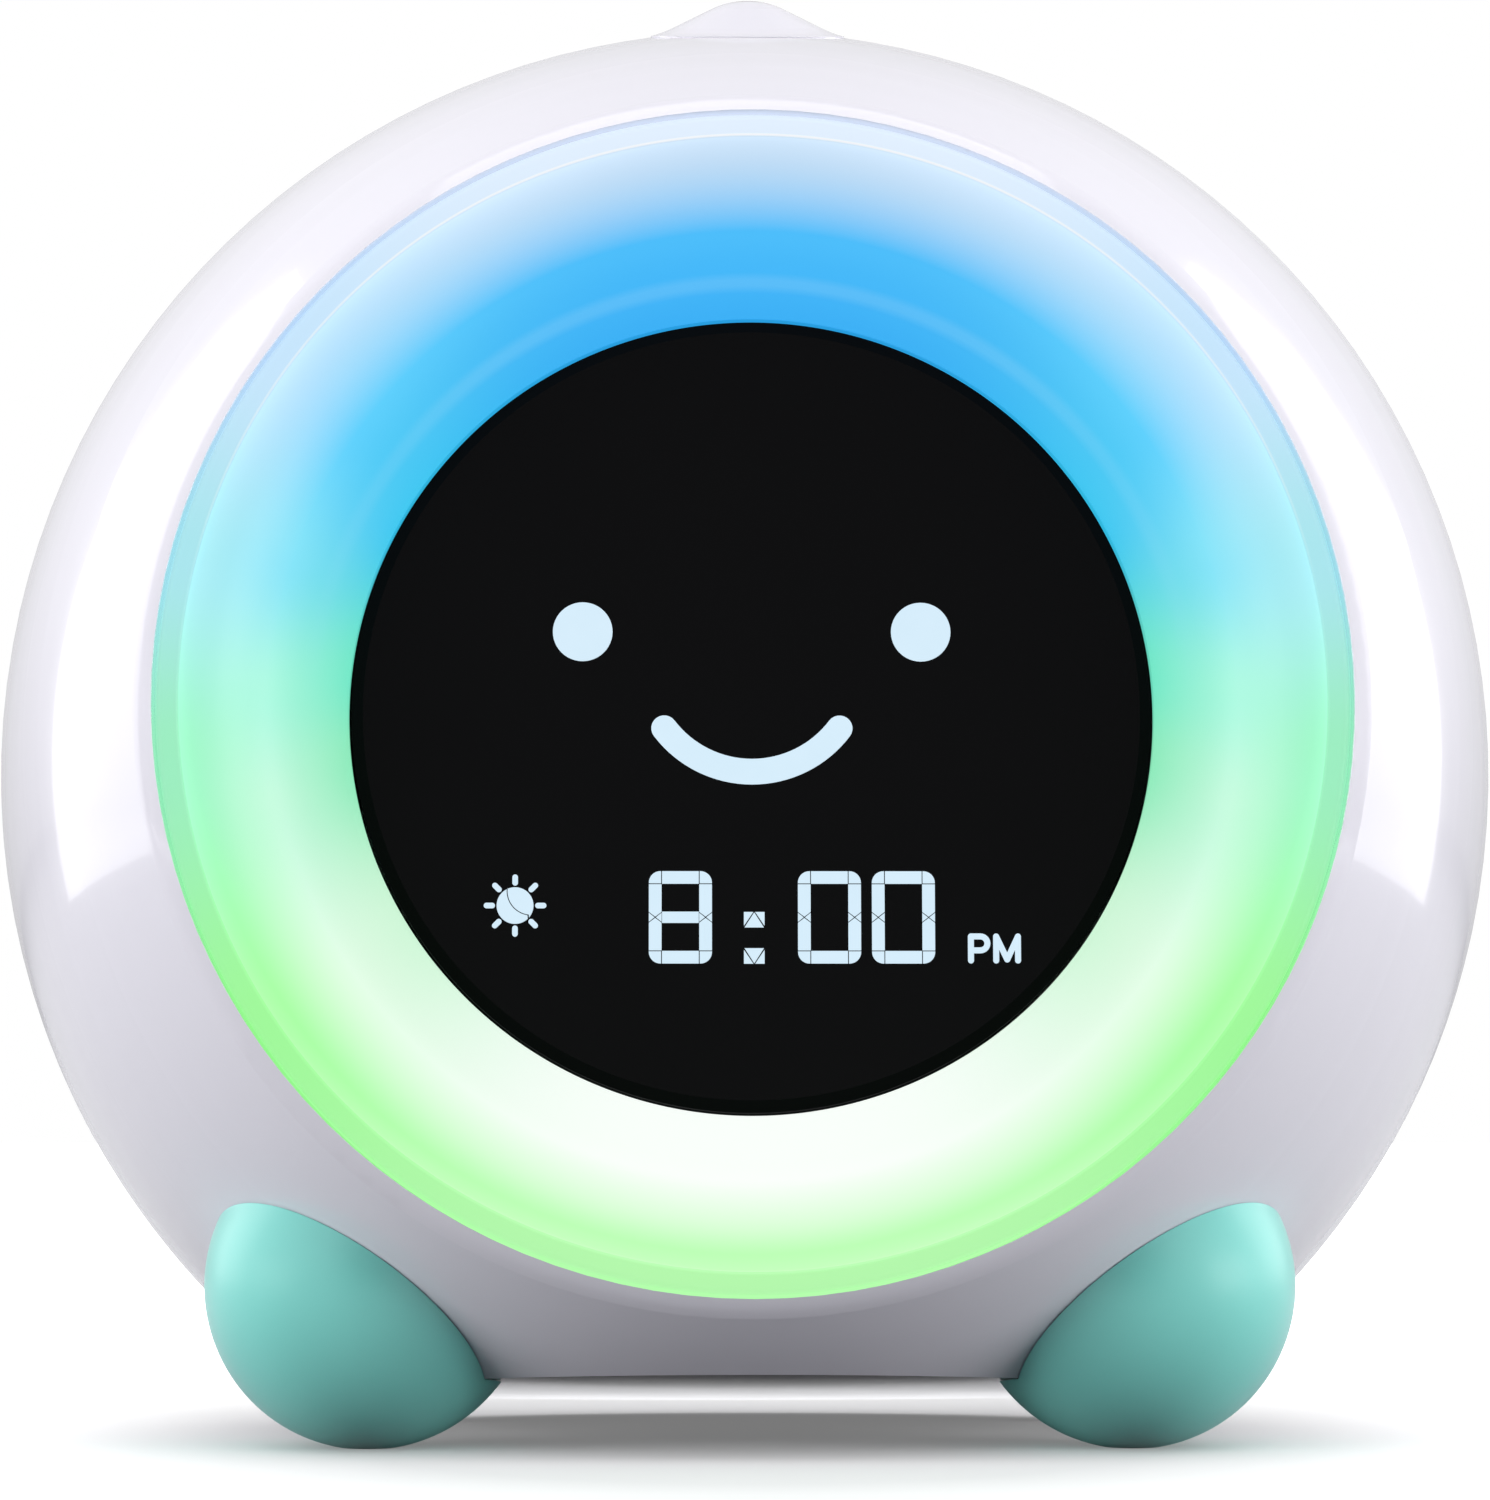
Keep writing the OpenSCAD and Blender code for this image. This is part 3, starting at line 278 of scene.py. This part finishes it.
def ring_light():
    """The lit diffuser: blue lamps above, green below, paler where the plastic turns away."""
    s = Shade("ring_diffuser_light")
    v, radius = case_axes(s)
    up = s.rescale(s.math("DIVIDE", v, radius), -1, 1)

    def zone(tones):
        return s.ramp(up, [(at, rgb(text)) for at, text in tones], "EASE")

    def light(lit, at, reach, heights, most, tone):
        """Paints a fine highlight round the ring."""
        near = s.rescale(s.math("ABSOLUTE", s.math("SUBTRACT", radius, at)), *reach, 1, 0)
        return s.mix(s.math("MULTIPLY", near, s.rescale(up, *heights, 0.0, most)), lit, tone)

    core, inner, rim = zone(CORE_TONES), zone(INNER_TONES), zone(RIM_TONES)
    out = s.rescale(s.math("SUBTRACT", radius, s.math("MULTIPLY", up, RIM_RISE)), *CORE_TO_RIM)
    inside = s.rescale(radius, *INNER_TO_CORE, 1, 0)
    lit = s.mix(out, s.mix(inside, core, inner), rim)
    # painted highlights on the crease and on the edge of dish and rim, towards the top
    lit = light(light(lit, *CREASE_HIGHLIGHT), *EDGE_HIGHLIGHT)
    # 0 in the painted shade where the ring meets the window, 1 outside it
    clear_of_seat_shade = s.rescale(radius, *SEAT_SHADE_BAND)
    s.set(Base_Color=s.mix(s.math("MULTIPLY", clear_of_seat_shade, RING_TINT), RING_UNLIT, lit),
          Roughness=RING_ROUGH, Emission_Color=lit,
          Emission_Strength=s.math("MULTIPLY", clear_of_seat_shade, RING_GLOW))
    s.bump(s.noise(RING_GRAIN), RING_BUMP)
    return s.material


SIGN_TONES, SIGN_BASE, SIGN_ROUGH = (rgb("d4ecfa"), rgb("daf0fe")), rgb("30363c"), 0.4
SIGN_FLOW, SIGN_GLOW = 300.0, 0.95


def lit_sign():
    """The figures and signs of the display: a nearly even light blue."""
    s = Shade("display_sign_light")
    s.set(Base_Color=SIGN_BASE, Roughness=SIGN_ROUGH, Emission_Strength=SIGN_GLOW,
          Emission_Color=s.mix(s.noise(SIGN_FLOW), *SIGN_TONES))
    return s.material


WHITE = moulded("case_white_gloss", rgb("e9e7f1"), rough=0.16, vary=0.006, grain=500.0, bump=0.008,
                coat=0.6, coat_rough=0.04)
KEY_GREY = moulded("key_grey", rgb("dcdce2"), rough=0.35, vary=0.02)
TRAY = moulded("tray_white_matt", rgb("eeeeee"), rough=0.6, vary=0.02)
LENS = moulded("lens_black_gloss", rgb("101011"), rough=0.14, vary=0.04, bump=0.0, ior=1.36)
LENS_EDGE = moulded("lens_edge_black", rgb("0a0b0c"), rough=0.6, vary=0.05, bump=0.0, ior=1.08)
BLACK = moulded("black_plastic", rgb("1b1b1d"), rough=0.45, vary=0.1)
MINT = moulded("foot_mint_satin", rgb("80ddd3"), rough=0.45, vary=0.012, grain=1500.0, bump=0.03,
               coat=1.0, coat_rough=0.3)
RUBBER = moulded("rubber_dark", rgb("3a3a3c"), rough=0.8, vary=0.12, bump=0.2)
GUIDE = moulded("light_guide", rgb("d7eefc"), rough=0.4, vary=0.02)
LAMP = moulded("lamp_yellow", rgb("fff1b8"), rough=0.3, vary=0.05)
CONE = moulded("cone_paper", rgb("202022"), rough=0.85, vary=0.2, grain=700.0, bump=0.4)
RIBBON = moulded("ribbon_cream", rgb("d9d2c0"), rough=0.5, vary=0.06)
STEEL = metal("steel", rgb("c4c7cb"), 0.3)
MAGNET = metal("magnet_grey", rgb("8a8d92"), 0.45)
CELL = metal("cell_gold", rgb("c8a24a"), 0.35)
BOARD = circuit("board_green", rgb("1f6b45"), rgb("2f8358"))
LAMP_BOARD = circuit("board_white", rgb("e4e8e6"), rgb("cfd6d2"))
RING = ring_light()
SIGN = lit_sign()

NODE_MATERIALS = {
    WHITE: ["front_shell", "rear_shell", "top_button", "battery_door"],
    KEY_GREY: ["left_key_low", "left_key_mid", "left_key_high",
               "right_key_low", "right_key_mid", "right_key_high"],
    RING: ["light_ring"],
    TRAY: ["ring_reflector", "battery_box"],
    LENS: ["display_lens"],
    BLACK: ["display_cup", "segment_mask", "button_switch", "key_switches", "board_parts"],
    MINT: ["left_foot", "right_foot"],
    RUBBER: ["rear_pads", "speaker_gasket"],
    GUIDE: ["segment_lights"],
    LAMP: ["lamps"],
    CONE: ["speaker_cone"],
    RIBBON: ["display_ribbon"],
    STEEL: ["ring_screws", "board_screws", "button_clip", "key_board_screws", "speaker_basket",
            "battery_plates", "battery_springs", "door_screw", "power_socket", "case_screws",
            "foot_screws"],
    MAGNET: ["speaker_magnet"],
    CELL: ["battery_cells"],
    BOARD: ["display_board", "main_board", "switch_bracket", "key_boards", "power_board"],
    LAMP_BOARD: ["lamp_board"],
}
for material, names in NODE_MATERIALS.items():
    for name in names:
        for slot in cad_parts[name].material_slots:
            slot.material = material


def dress(obj, material):
    obj.data.materials.append(material)
    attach(obj, "case")
    return obj


# ---------------------------------------------------------------- light ring
DISH_EDGE, RIM_EDGE = 0.35, 0.7               # radii of the rim's rounded inner and outer edge
BACK_START = -44                              # angle at which the dish's back leaves the flange

ring_profile = ([(BORE_R, DISH_FLOOR_S)]
                + arc(DISH_CR, DISH_CS, DISH_R, -90, 0, 40)
                + arc(DISH_CR + DISH_R + DISH_EDGE, RIM_S - DISH_EDGE, DISH_EDGE, 180, 90, 6)
                + arc(RING_R - RIM_EDGE, RIM_S - RIM_EDGE, RIM_EDGE, 90, 0, 8)
                + [(RING_R, FLANGE_S), (RING_R + FLANGE_W, FLANGE_S),
                   (RING_R + FLANGE_W, FLANGE_S - RING_T), (RING_R - SKIRT_T, FLANGE_S - RING_T)]
                + arc(DISH_CR, DISH_CS, DISH_R + RING_T, BACK_START, -90, 20)
                + [(BORE_R, DISH_FLOOR_S - RING_T)])
ring = dress(lathe("ring_diffuser", ring_profile), RING)
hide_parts("light_ring")

# ---------------------------------------------------------------- display window
BEVEL_H, BEVEL_W = 0.72, 1.2
LENS_CORE = 0.01                              # radius of the tiny hole that the lathe leaves
FLAT = 0.99                                   # from this cosine on, a face looks along the axis

lens_profile = [(LENS_CORE, LENS_BACK_S), (LENS_R, LENS_BACK_S), (LENS_R, LENS_FRONT_S - BEVEL_H),
                (LENS_R - BEVEL_W, LENS_FRONT_S), (LENS_CORE, LENS_FRONT_S)]
lens = dress(lathe("display_window", lens_profile), LENS)
lens.data.materials.append(LENS_EDGE)
axis = CASE.to_3x3() @ Vector((0, 0, 1))
for face in lens.data.polygons:
    face.material_index = 0 if face.normal.dot(axis) > FLAT else 1
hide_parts("display_lens")

# ---------------------------------------------------------------- signs of the display, in mm
# Every sign is a flat outline on the face of the window, measured from the window's centre.
SIGN_LIFT, SIGN_T = 0.03, 0.03
FIGURE_W, FIGURE_H, BAR_T, CORNER_R = 6.3, 9.28, 1.27, 1.15
HAIR = 0.045                                  # half the width of a hairline
CROSS_H = 0.5                                 # half the height of the cross on a figure's side
CROSS_SLANT = 1.4                             # a slanted hairline's room along a bar, against HAIR
MIDDLE_EXTRA = 0.07                           # the middle bar reaches this far past the cross
FIGURE_Y, FIGURES = -20.69, ((-7.17, True), (7.72, False), (15.11, False))   # x, has a middle bar
COLON_X, COLON_Y = 0.2, ((-20.93, 1), (-24.57, -1))
COLON_SIDE = ((0.09, 0.78), (1.03, 0.78), (1.03, -0.62))
COLON_WEDGE = ((0, 0.74), (0.97, -0.78), (-0.97, -0.78))
EYE_X, EYE_Y, EYE_R = 17, 8.2, 3.0
MOUTH_Y, MOUTH_R, MOUTH_HALF_W, MOUTH_ENDS = 5, 11, 1.3, (-143.13, -36.87)
SUN, SUN_R, SUN_RAYS = (-23.67, -19.52), 1.84, 8
CUT_X, CUT_Y, CUT_R = 1.62, 1.46, 2.42        # circle whose edge is the hairline across the sun
# The sun's two halves: angles of its own edge, then those of the cut.
SUN_NEAR, CUT_NEAR = (-41, 114), (173, 264)
SUN_FAR, CUT_FAR = (119, 314), (261, 176)
RAY_FROM, RAY_TO, RAY_HALF_W = 2.28, 2.85, 0.28
LETTERS, LETTER_H, LETTER_HALF_W = (21.83, -25.02), 2.42, 0.3
BOWL_X, BOWL_Y, BOWL_R, BOWL_FOOT = 0.95, 1.72, 0.7, 1.02
M_LEFT, M_MIDDLE, M_RIGHT, M_LOW = 2.52, 3.62, 4.7, 0.1


def flat_piece(name, outlines):
    """Thin flat shapes on the face of the window."""
    verts, faces = [], []
    top, low = LENS_FRONT_S + SIGN_LIFT, LENS_FRONT_S + SIGN_LIFT - SIGN_T
    for outline in outlines:
        n, at = len(outline), len(verts)
        verts += [(x, y, top) for x, y in outline] + [(x, y, low) for x, y in outline]
        faces.append(tuple(range(at, at + n)))
        faces.append(tuple(range(at + 2 * n - 1, at + n - 1, -1)))
        for k in range(n):
            m = (k + 1) % n
            faces.append((at + k, at + n + k, at + n + m, at + m))
    return new_mesh(name, verts, faces, smooth=False)


def move(points, to):
    return [(to[0] + x, to[1] + y) for x, y in points]


def mirror(points, sx, sy):
    return [(sx * x, sy * y) for x, y in points]


def spin(points, degrees):
    c, s = math.cos(math.radians(degrees)), math.sin(math.radians(degrees))
    return [(x * c - y * s, x * s + y * c) for x, y in points]


def disc(cx, cy, r):
    return arc(cx, cy, r, 0, 360, 48)[:-1]


def smile(cx, cy, r, half_w, a0, a1):
    """An arc with round ends."""
    def end(at, start):
        a = math.radians(at)
        return arc(cx + r * math.cos(a), cy + r * math.sin(a), half_w, start, start + 180, 12)[1:-1]

    return (arc(cx, cy, r + half_w, a0, a1, 32) + end(a1, a1)
            + arc(cx, cy, r - half_w, a1, a0, 32) + end(a0, a0 + 180))


def bar(half, high, low):
    return [(-half, high), (half, high), (half, low), (-half, low)]


def figure(middle):
    """One figure: straight bars, round corners, and a small cross of hairlines on each side."""
    x, y, t, g, k = FIGURE_W / 2, FIGURE_H / 2, BAR_T, HAIR, CROSS_H
    spine, slant, half = x - t / 2, CROSS_SLANT * g, x - t - g
    corner = (arc(x - CORNER_R, y - CORNER_R, CORNER_R, 0, 90, 8)
              + [(x - t + g, y), (x - t + g, y - t + g), (x, y - t + g)])
    side = [(x, y - t - g), (x, k + g), (spine, slant), (x - t, k + g), (x - t, y - t - g)]
    shapes = []
    for sy in (1, -1):
        shapes.append(bar(half, sy * y, sy * (y - t)))
        for sx in (1, -1):
            shapes += [mirror(corner, sx, sy), mirror(side, sx, sy)]
    for sx in (1, -1):
        for edge, tip in ((x, spine + slant), (x - t, spine - slant)):
            shapes.append(mirror([(edge, k - g), (edge, g - k), (tip, 0)], sx, 1))
    if middle:
        shapes.append(bar(half, k + MIDDLE_EXTRA, -k - MIDDLE_EXTRA))
    return shapes


def stroke(points, half_w):
    """A line with round ends and joints, as overlapping capsules."""
    shapes = []
    for (ax, ay), (bx, by) in zip(points, points[1:]):
        a = math.degrees(math.atan2(by - ay, bx - ax))
        shapes.append(arc(ax, ay, half_w, a + 90, a + 270, 8)
                      + arc(bx, by, half_w, a - 90, a + 90, 8))
    return shapes


signs = [disc(-EYE_X, EYE_Y, EYE_R), disc(EYE_X, EYE_Y, EYE_R),
         smile(0, MOUTH_Y, MOUTH_R, MOUTH_HALF_W, *MOUTH_ENDS)]
for x, middle in FIGURES:
    signs += [move(shape, (x, FIGURE_Y)) for shape in figure(middle)]
for y, flip in COLON_Y:
    for side in (-1, 1):
        signs.append(move(mirror(COLON_SIDE, side, flip), (COLON_X, y)))
    signs.append(move(mirror(COLON_WEDGE, 1, flip), (COLON_X, y)))
signs.append(move(arc(0, 0, SUN_R, *SUN_NEAR, 24)
                  + arc(CUT_X, CUT_Y, CUT_R - HAIR, *CUT_NEAR, 16), SUN))
signs.append(move(arc(0, 0, SUN_R, *SUN_FAR, 30)
                  + arc(CUT_X, CUT_Y, CUT_R + HAIR, *CUT_FAR, 16), SUN))
ray = arc(RAY_TO, 0, RAY_HALF_W, -90, 90, 8) + arc(RAY_FROM, 0, RAY_HALF_W, 90, 270, 8)
for i in range(SUN_RAYS):
    signs.append(move(spin(ray, 360 / SUN_RAYS * i), SUN))
stem = [(0, 0), (0, LETTER_H)]
bowl = [(0, LETTER_H)] + arc(BOWL_X, BOWL_Y, BOWL_R, 90, -90, 12) + [(0, BOWL_FOOT)]
letter_m = [(M_LEFT, 0), (M_LEFT, LETTER_H), (M_MIDDLE, M_LOW), (M_RIGHT, LETTER_H), (M_RIGHT, 0)]
for line in (stem, bowl, letter_m):
    signs += stroke(move(line, LETTERS), LETTER_HALF_W)
dress(flat_piece("display_signs", signs), SIGN)

# ---------------------------------------------------------------- camera
CAMERA_AT = (-9.67, -595.32, 36.35)           # mm
PITCH, YAW = 0.060, 0.016                     # radians, up and to the right
PHOTO_W, FOCAL_PX = 1490, 5603.4              # the photograph's width and focal length, in pixels
SENSOR_W = 36.0                               # mm
CLIP_NEAR, CLIP_FAR = 0.01, 50                # metres


def look(position, pitch, yaw):
    flat = math.cos(pitch)
    forward = Vector((math.sin(yaw) * flat, math.cos(yaw) * flat, math.sin(pitch)))
    right = Vector((math.cos(yaw), -math.sin(yaw), 0))
    up = right.cross(forward)
    turn = Matrix((right, up, -forward)).transposed().to_4x4()
    return Matrix.Translation(position) @ turn


camera = bpy.data.objects.new("camera", bpy.data.cameras.new("camera"))
bpy.context.scene.collection.objects.link(camera)
camera.matrix_world = look(Vector(CAMERA_AT) * MM, PITCH, YAW)
camera.data.sensor_fit = "HORIZONTAL"
camera.data.sensor_width = SENSOR_W
camera.data.lens = SENSOR_W * FOCAL_PX / PHOTO_W
camera.data.clip_start, camera.data.clip_end = CLIP_NEAR, CLIP_FAR
bpy.context.scene.camera = camera

# ---------------------------------------------------------------- lamps
MIDDLE, UPPER = (0, 0, 0.07), (0, 0.0, 0.10)  # what the lamps point at, in metres
# Name, place, aim, size in metres, watts, and the kind of ray that doesn't meet the lamp. The back
# and the fills only light the object; the sides only give the bands that its gloss mirrors.
LAMPS = [
    ("top", (0, -0.15, 1.15), MIDDLE, (1.1, 0.9), 3.7, None),
    ("back", (0, 0.85, 0.95), MIDDLE, (1.0, 0.5), 2.9, "glossy"),
    ("side_left", (-0.33, 0.10, 0.19), UPPER, (0.24, 0.36), 0.36, "diffuse"),
    ("side_right", (0.33, 0.10, 0.19), UPPER, (0.24, 0.36), 0.36, "diffuse"),
    ("fill_left", (-0.94, -0.35, 0.12), MIDDLE, (0.6, 0.30), 6.9, "glossy"),
    ("fill_right", (0.94, -0.35, 0.12), MIDDLE, (0.6, 0.30), 6.9, "glossy"),
]
for name, at, aim, size, power, unseen in LAMPS:
    data = bpy.data.lights.new(name, "AREA")
    data.shape, data.energy = "RECTANGLE", power
    data.size, data.size_y = size
    lamp = bpy.data.objects.new(name, data)
    lamp.location = at
    lamp.rotation_mode = "QUATERNION"
    lamp.rotation_quaternion = (Vector(aim) - Vector(at)).to_track_quat("-Z", "Y")
    lamp.visible_diffuse = unseen != "diffuse"
    lamp.visible_glossy = unseen != "glossy"
    bpy.context.scene.collection.objects.link(lamp)


# ---------------------------------------------------------------- sky
class Sky(Shade):
    """The studio round the object: white to the camera, and a soft light to all else."""

    def __init__(self, name):
        self.world = bpy.data.worlds.new(name)
        self.world.use_nodes = True
        self.tree = self.world.node_tree
        self.tree.nodes.clear()


SKY_STRENGTH = 0.735
SKY_TONES = [(0.45, grey(0.68, 0.69)), (0.60, grey(0.95, 0.96)), (0.95, grey(1.0))]   # by height
DIM_WAY, DIM_CONE, DIM_LEAST = (0, -0.972, 0.235), (0.90, 0.975), 0.08   # round the camera

sky = Sky("studio")
bpy.context.scene.world = sky.world
way = sky.add("ShaderNodeTexCoord").outputs["Generated"]
height = sky.node("ShaderNodeSeparateXYZ", Vector=way).outputs[2]
front = sky.add("ShaderNodeVectorMath")
front.operation = "DOT_PRODUCT"
sky.put(front.inputs[0], way)
front.inputs[1].default_value = DIM_WAY
dim = sky.rescale(front.outputs["Value"], *DIM_CONE, 1.0, DIM_LEAST)
glow = sky.ramp(sky.rescale(height, -1, 1), SKY_TONES)
soft = sky.node("ShaderNodeBackground", Color=glow,
                Strength=sky.math("MULTIPLY", dim, SKY_STRENGTH))
white = sky.node("ShaderNodeBackground", Color=grey(1.0), Strength=1.0)
rays = sky.add("ShaderNodeLightPath").outputs
direct = sky.math("MAXIMUM", rays["Is Camera Ray"], rays["Is Transmission Ray"])
shown = sky.join("ShaderNodeMixShader", direct, soft.outputs[0], white.outputs[0])
sky.put(sky.add("ShaderNodeOutputWorld").inputs[0], shown)

# ---------------------------------------------------------------- floor
# The camera sees the floor shine away from the object and right behind it, so it ends in the white
# of the sky and keeps the shadow. Glossy rays meet a shining patch behind the feet, and light that
# bounces meets a dark floor.
FLOOR_HALF = 3000                             # mm; all other lengths of the floor are in metres
FLOOR_GREYS, FLOOR_MIRRORED = (grey(0.69), grey(0.71)), grey(0.64, 0.66)
FLOOR_BOUNCED, FLOOR_FLOW = grey(0.08, 0.092), 3.0
ACROSS_SHARE, DEPTH_SHARE = 1.2, 0.7          # the shadow's oval
SHINE_AWAY, SHINE_LEAST = (0.055, 0.15), 0.17
BEHIND_DEPTH, BEHIND_SIDE = (0.07, 0.15), (0.06, 0.09)
PATCH_DEPTH, PATCH_SIDE = (0.025, 0.05), (0.05, 0.07)


def floor_material():
    s = Shade("floor_pale")
    along, depth, _ = s.node("ShaderNodeSeparateXYZ", Vector=s.place()).outputs
    rays = s.add("ShaderNodeLightPath").outputs
    camera_ray, glossy_ray = rays["Is Camera Ray"], rays["Is Glossy Ray"]

    def patch(depths, sides):
        """1 behind the case and near the middle, 0 elsewhere."""
        aside = s.rescale(s.math("ABSOLUTE", along), *sides, 1.0, 0.0)
        return s.math("MULTIPLY", s.rescale(depth, *depths), aside)

    side = s.math("MULTIPLY", along, ACROSS_SHARE)
    fore = s.math("MULTIPLY", depth, DEPTH_SHARE)
    square = s.math("ADD", s.math("MULTIPLY", side, side), s.math("MULTIPLY", fore, fore))
    away = s.rescale(s.math("SQRT", square), *SHINE_AWAY)
    shine = s.math("MAXIMUM", s.rescale(away, 0, 1, SHINE_LEAST, 1.0),
                   patch(BEHIND_DEPTH, BEHIND_SIDE))
    strength = s.math("MAXIMUM", s.math("MULTIPLY", shine, camera_ray),
                      s.math("MULTIPLY", patch(PATCH_DEPTH, PATCH_SIDE), glossy_ray))
    tone = s.mix(glossy_ray, s.mix(s.noise(FLOOR_FLOW), *FLOOR_GREYS), FLOOR_MIRRORED)
    seen = s.join("ShaderNodeAddShader",
                  s.node("ShaderNodeBsdfDiffuse", Color=tone).outputs[0],
                  s.node("ShaderNodeEmission", Color=grey(1.0), Strength=strength).outputs[0])
    bounced = s.node("ShaderNodeBsdfDiffuse", Color=FLOOR_BOUNCED).outputs[0]
    not_bounced = s.math("SUBTRACT", 1.0, rays["Is Diffuse Ray"])
    shown = s.join("ShaderNodeMixShader", not_bounced, bounced, seen)
    s.put(s.tree.nodes["Material Output"].inputs[0], shown)
    return s.material


corners = [(sx * FLOOR_HALF, sy * FLOOR_HALF, 0) for sx, sy in ((-1, -1), (1, -1), (1, 1), (-1, 1))]
floor = new_mesh("floor", corners, [(0, 1, 2, 3)], place=Matrix.Identity(4), smooth=False)
floor.data.materials.append(floor_material())

bpy.context.scene.view_settings.view_transform = "Standard"
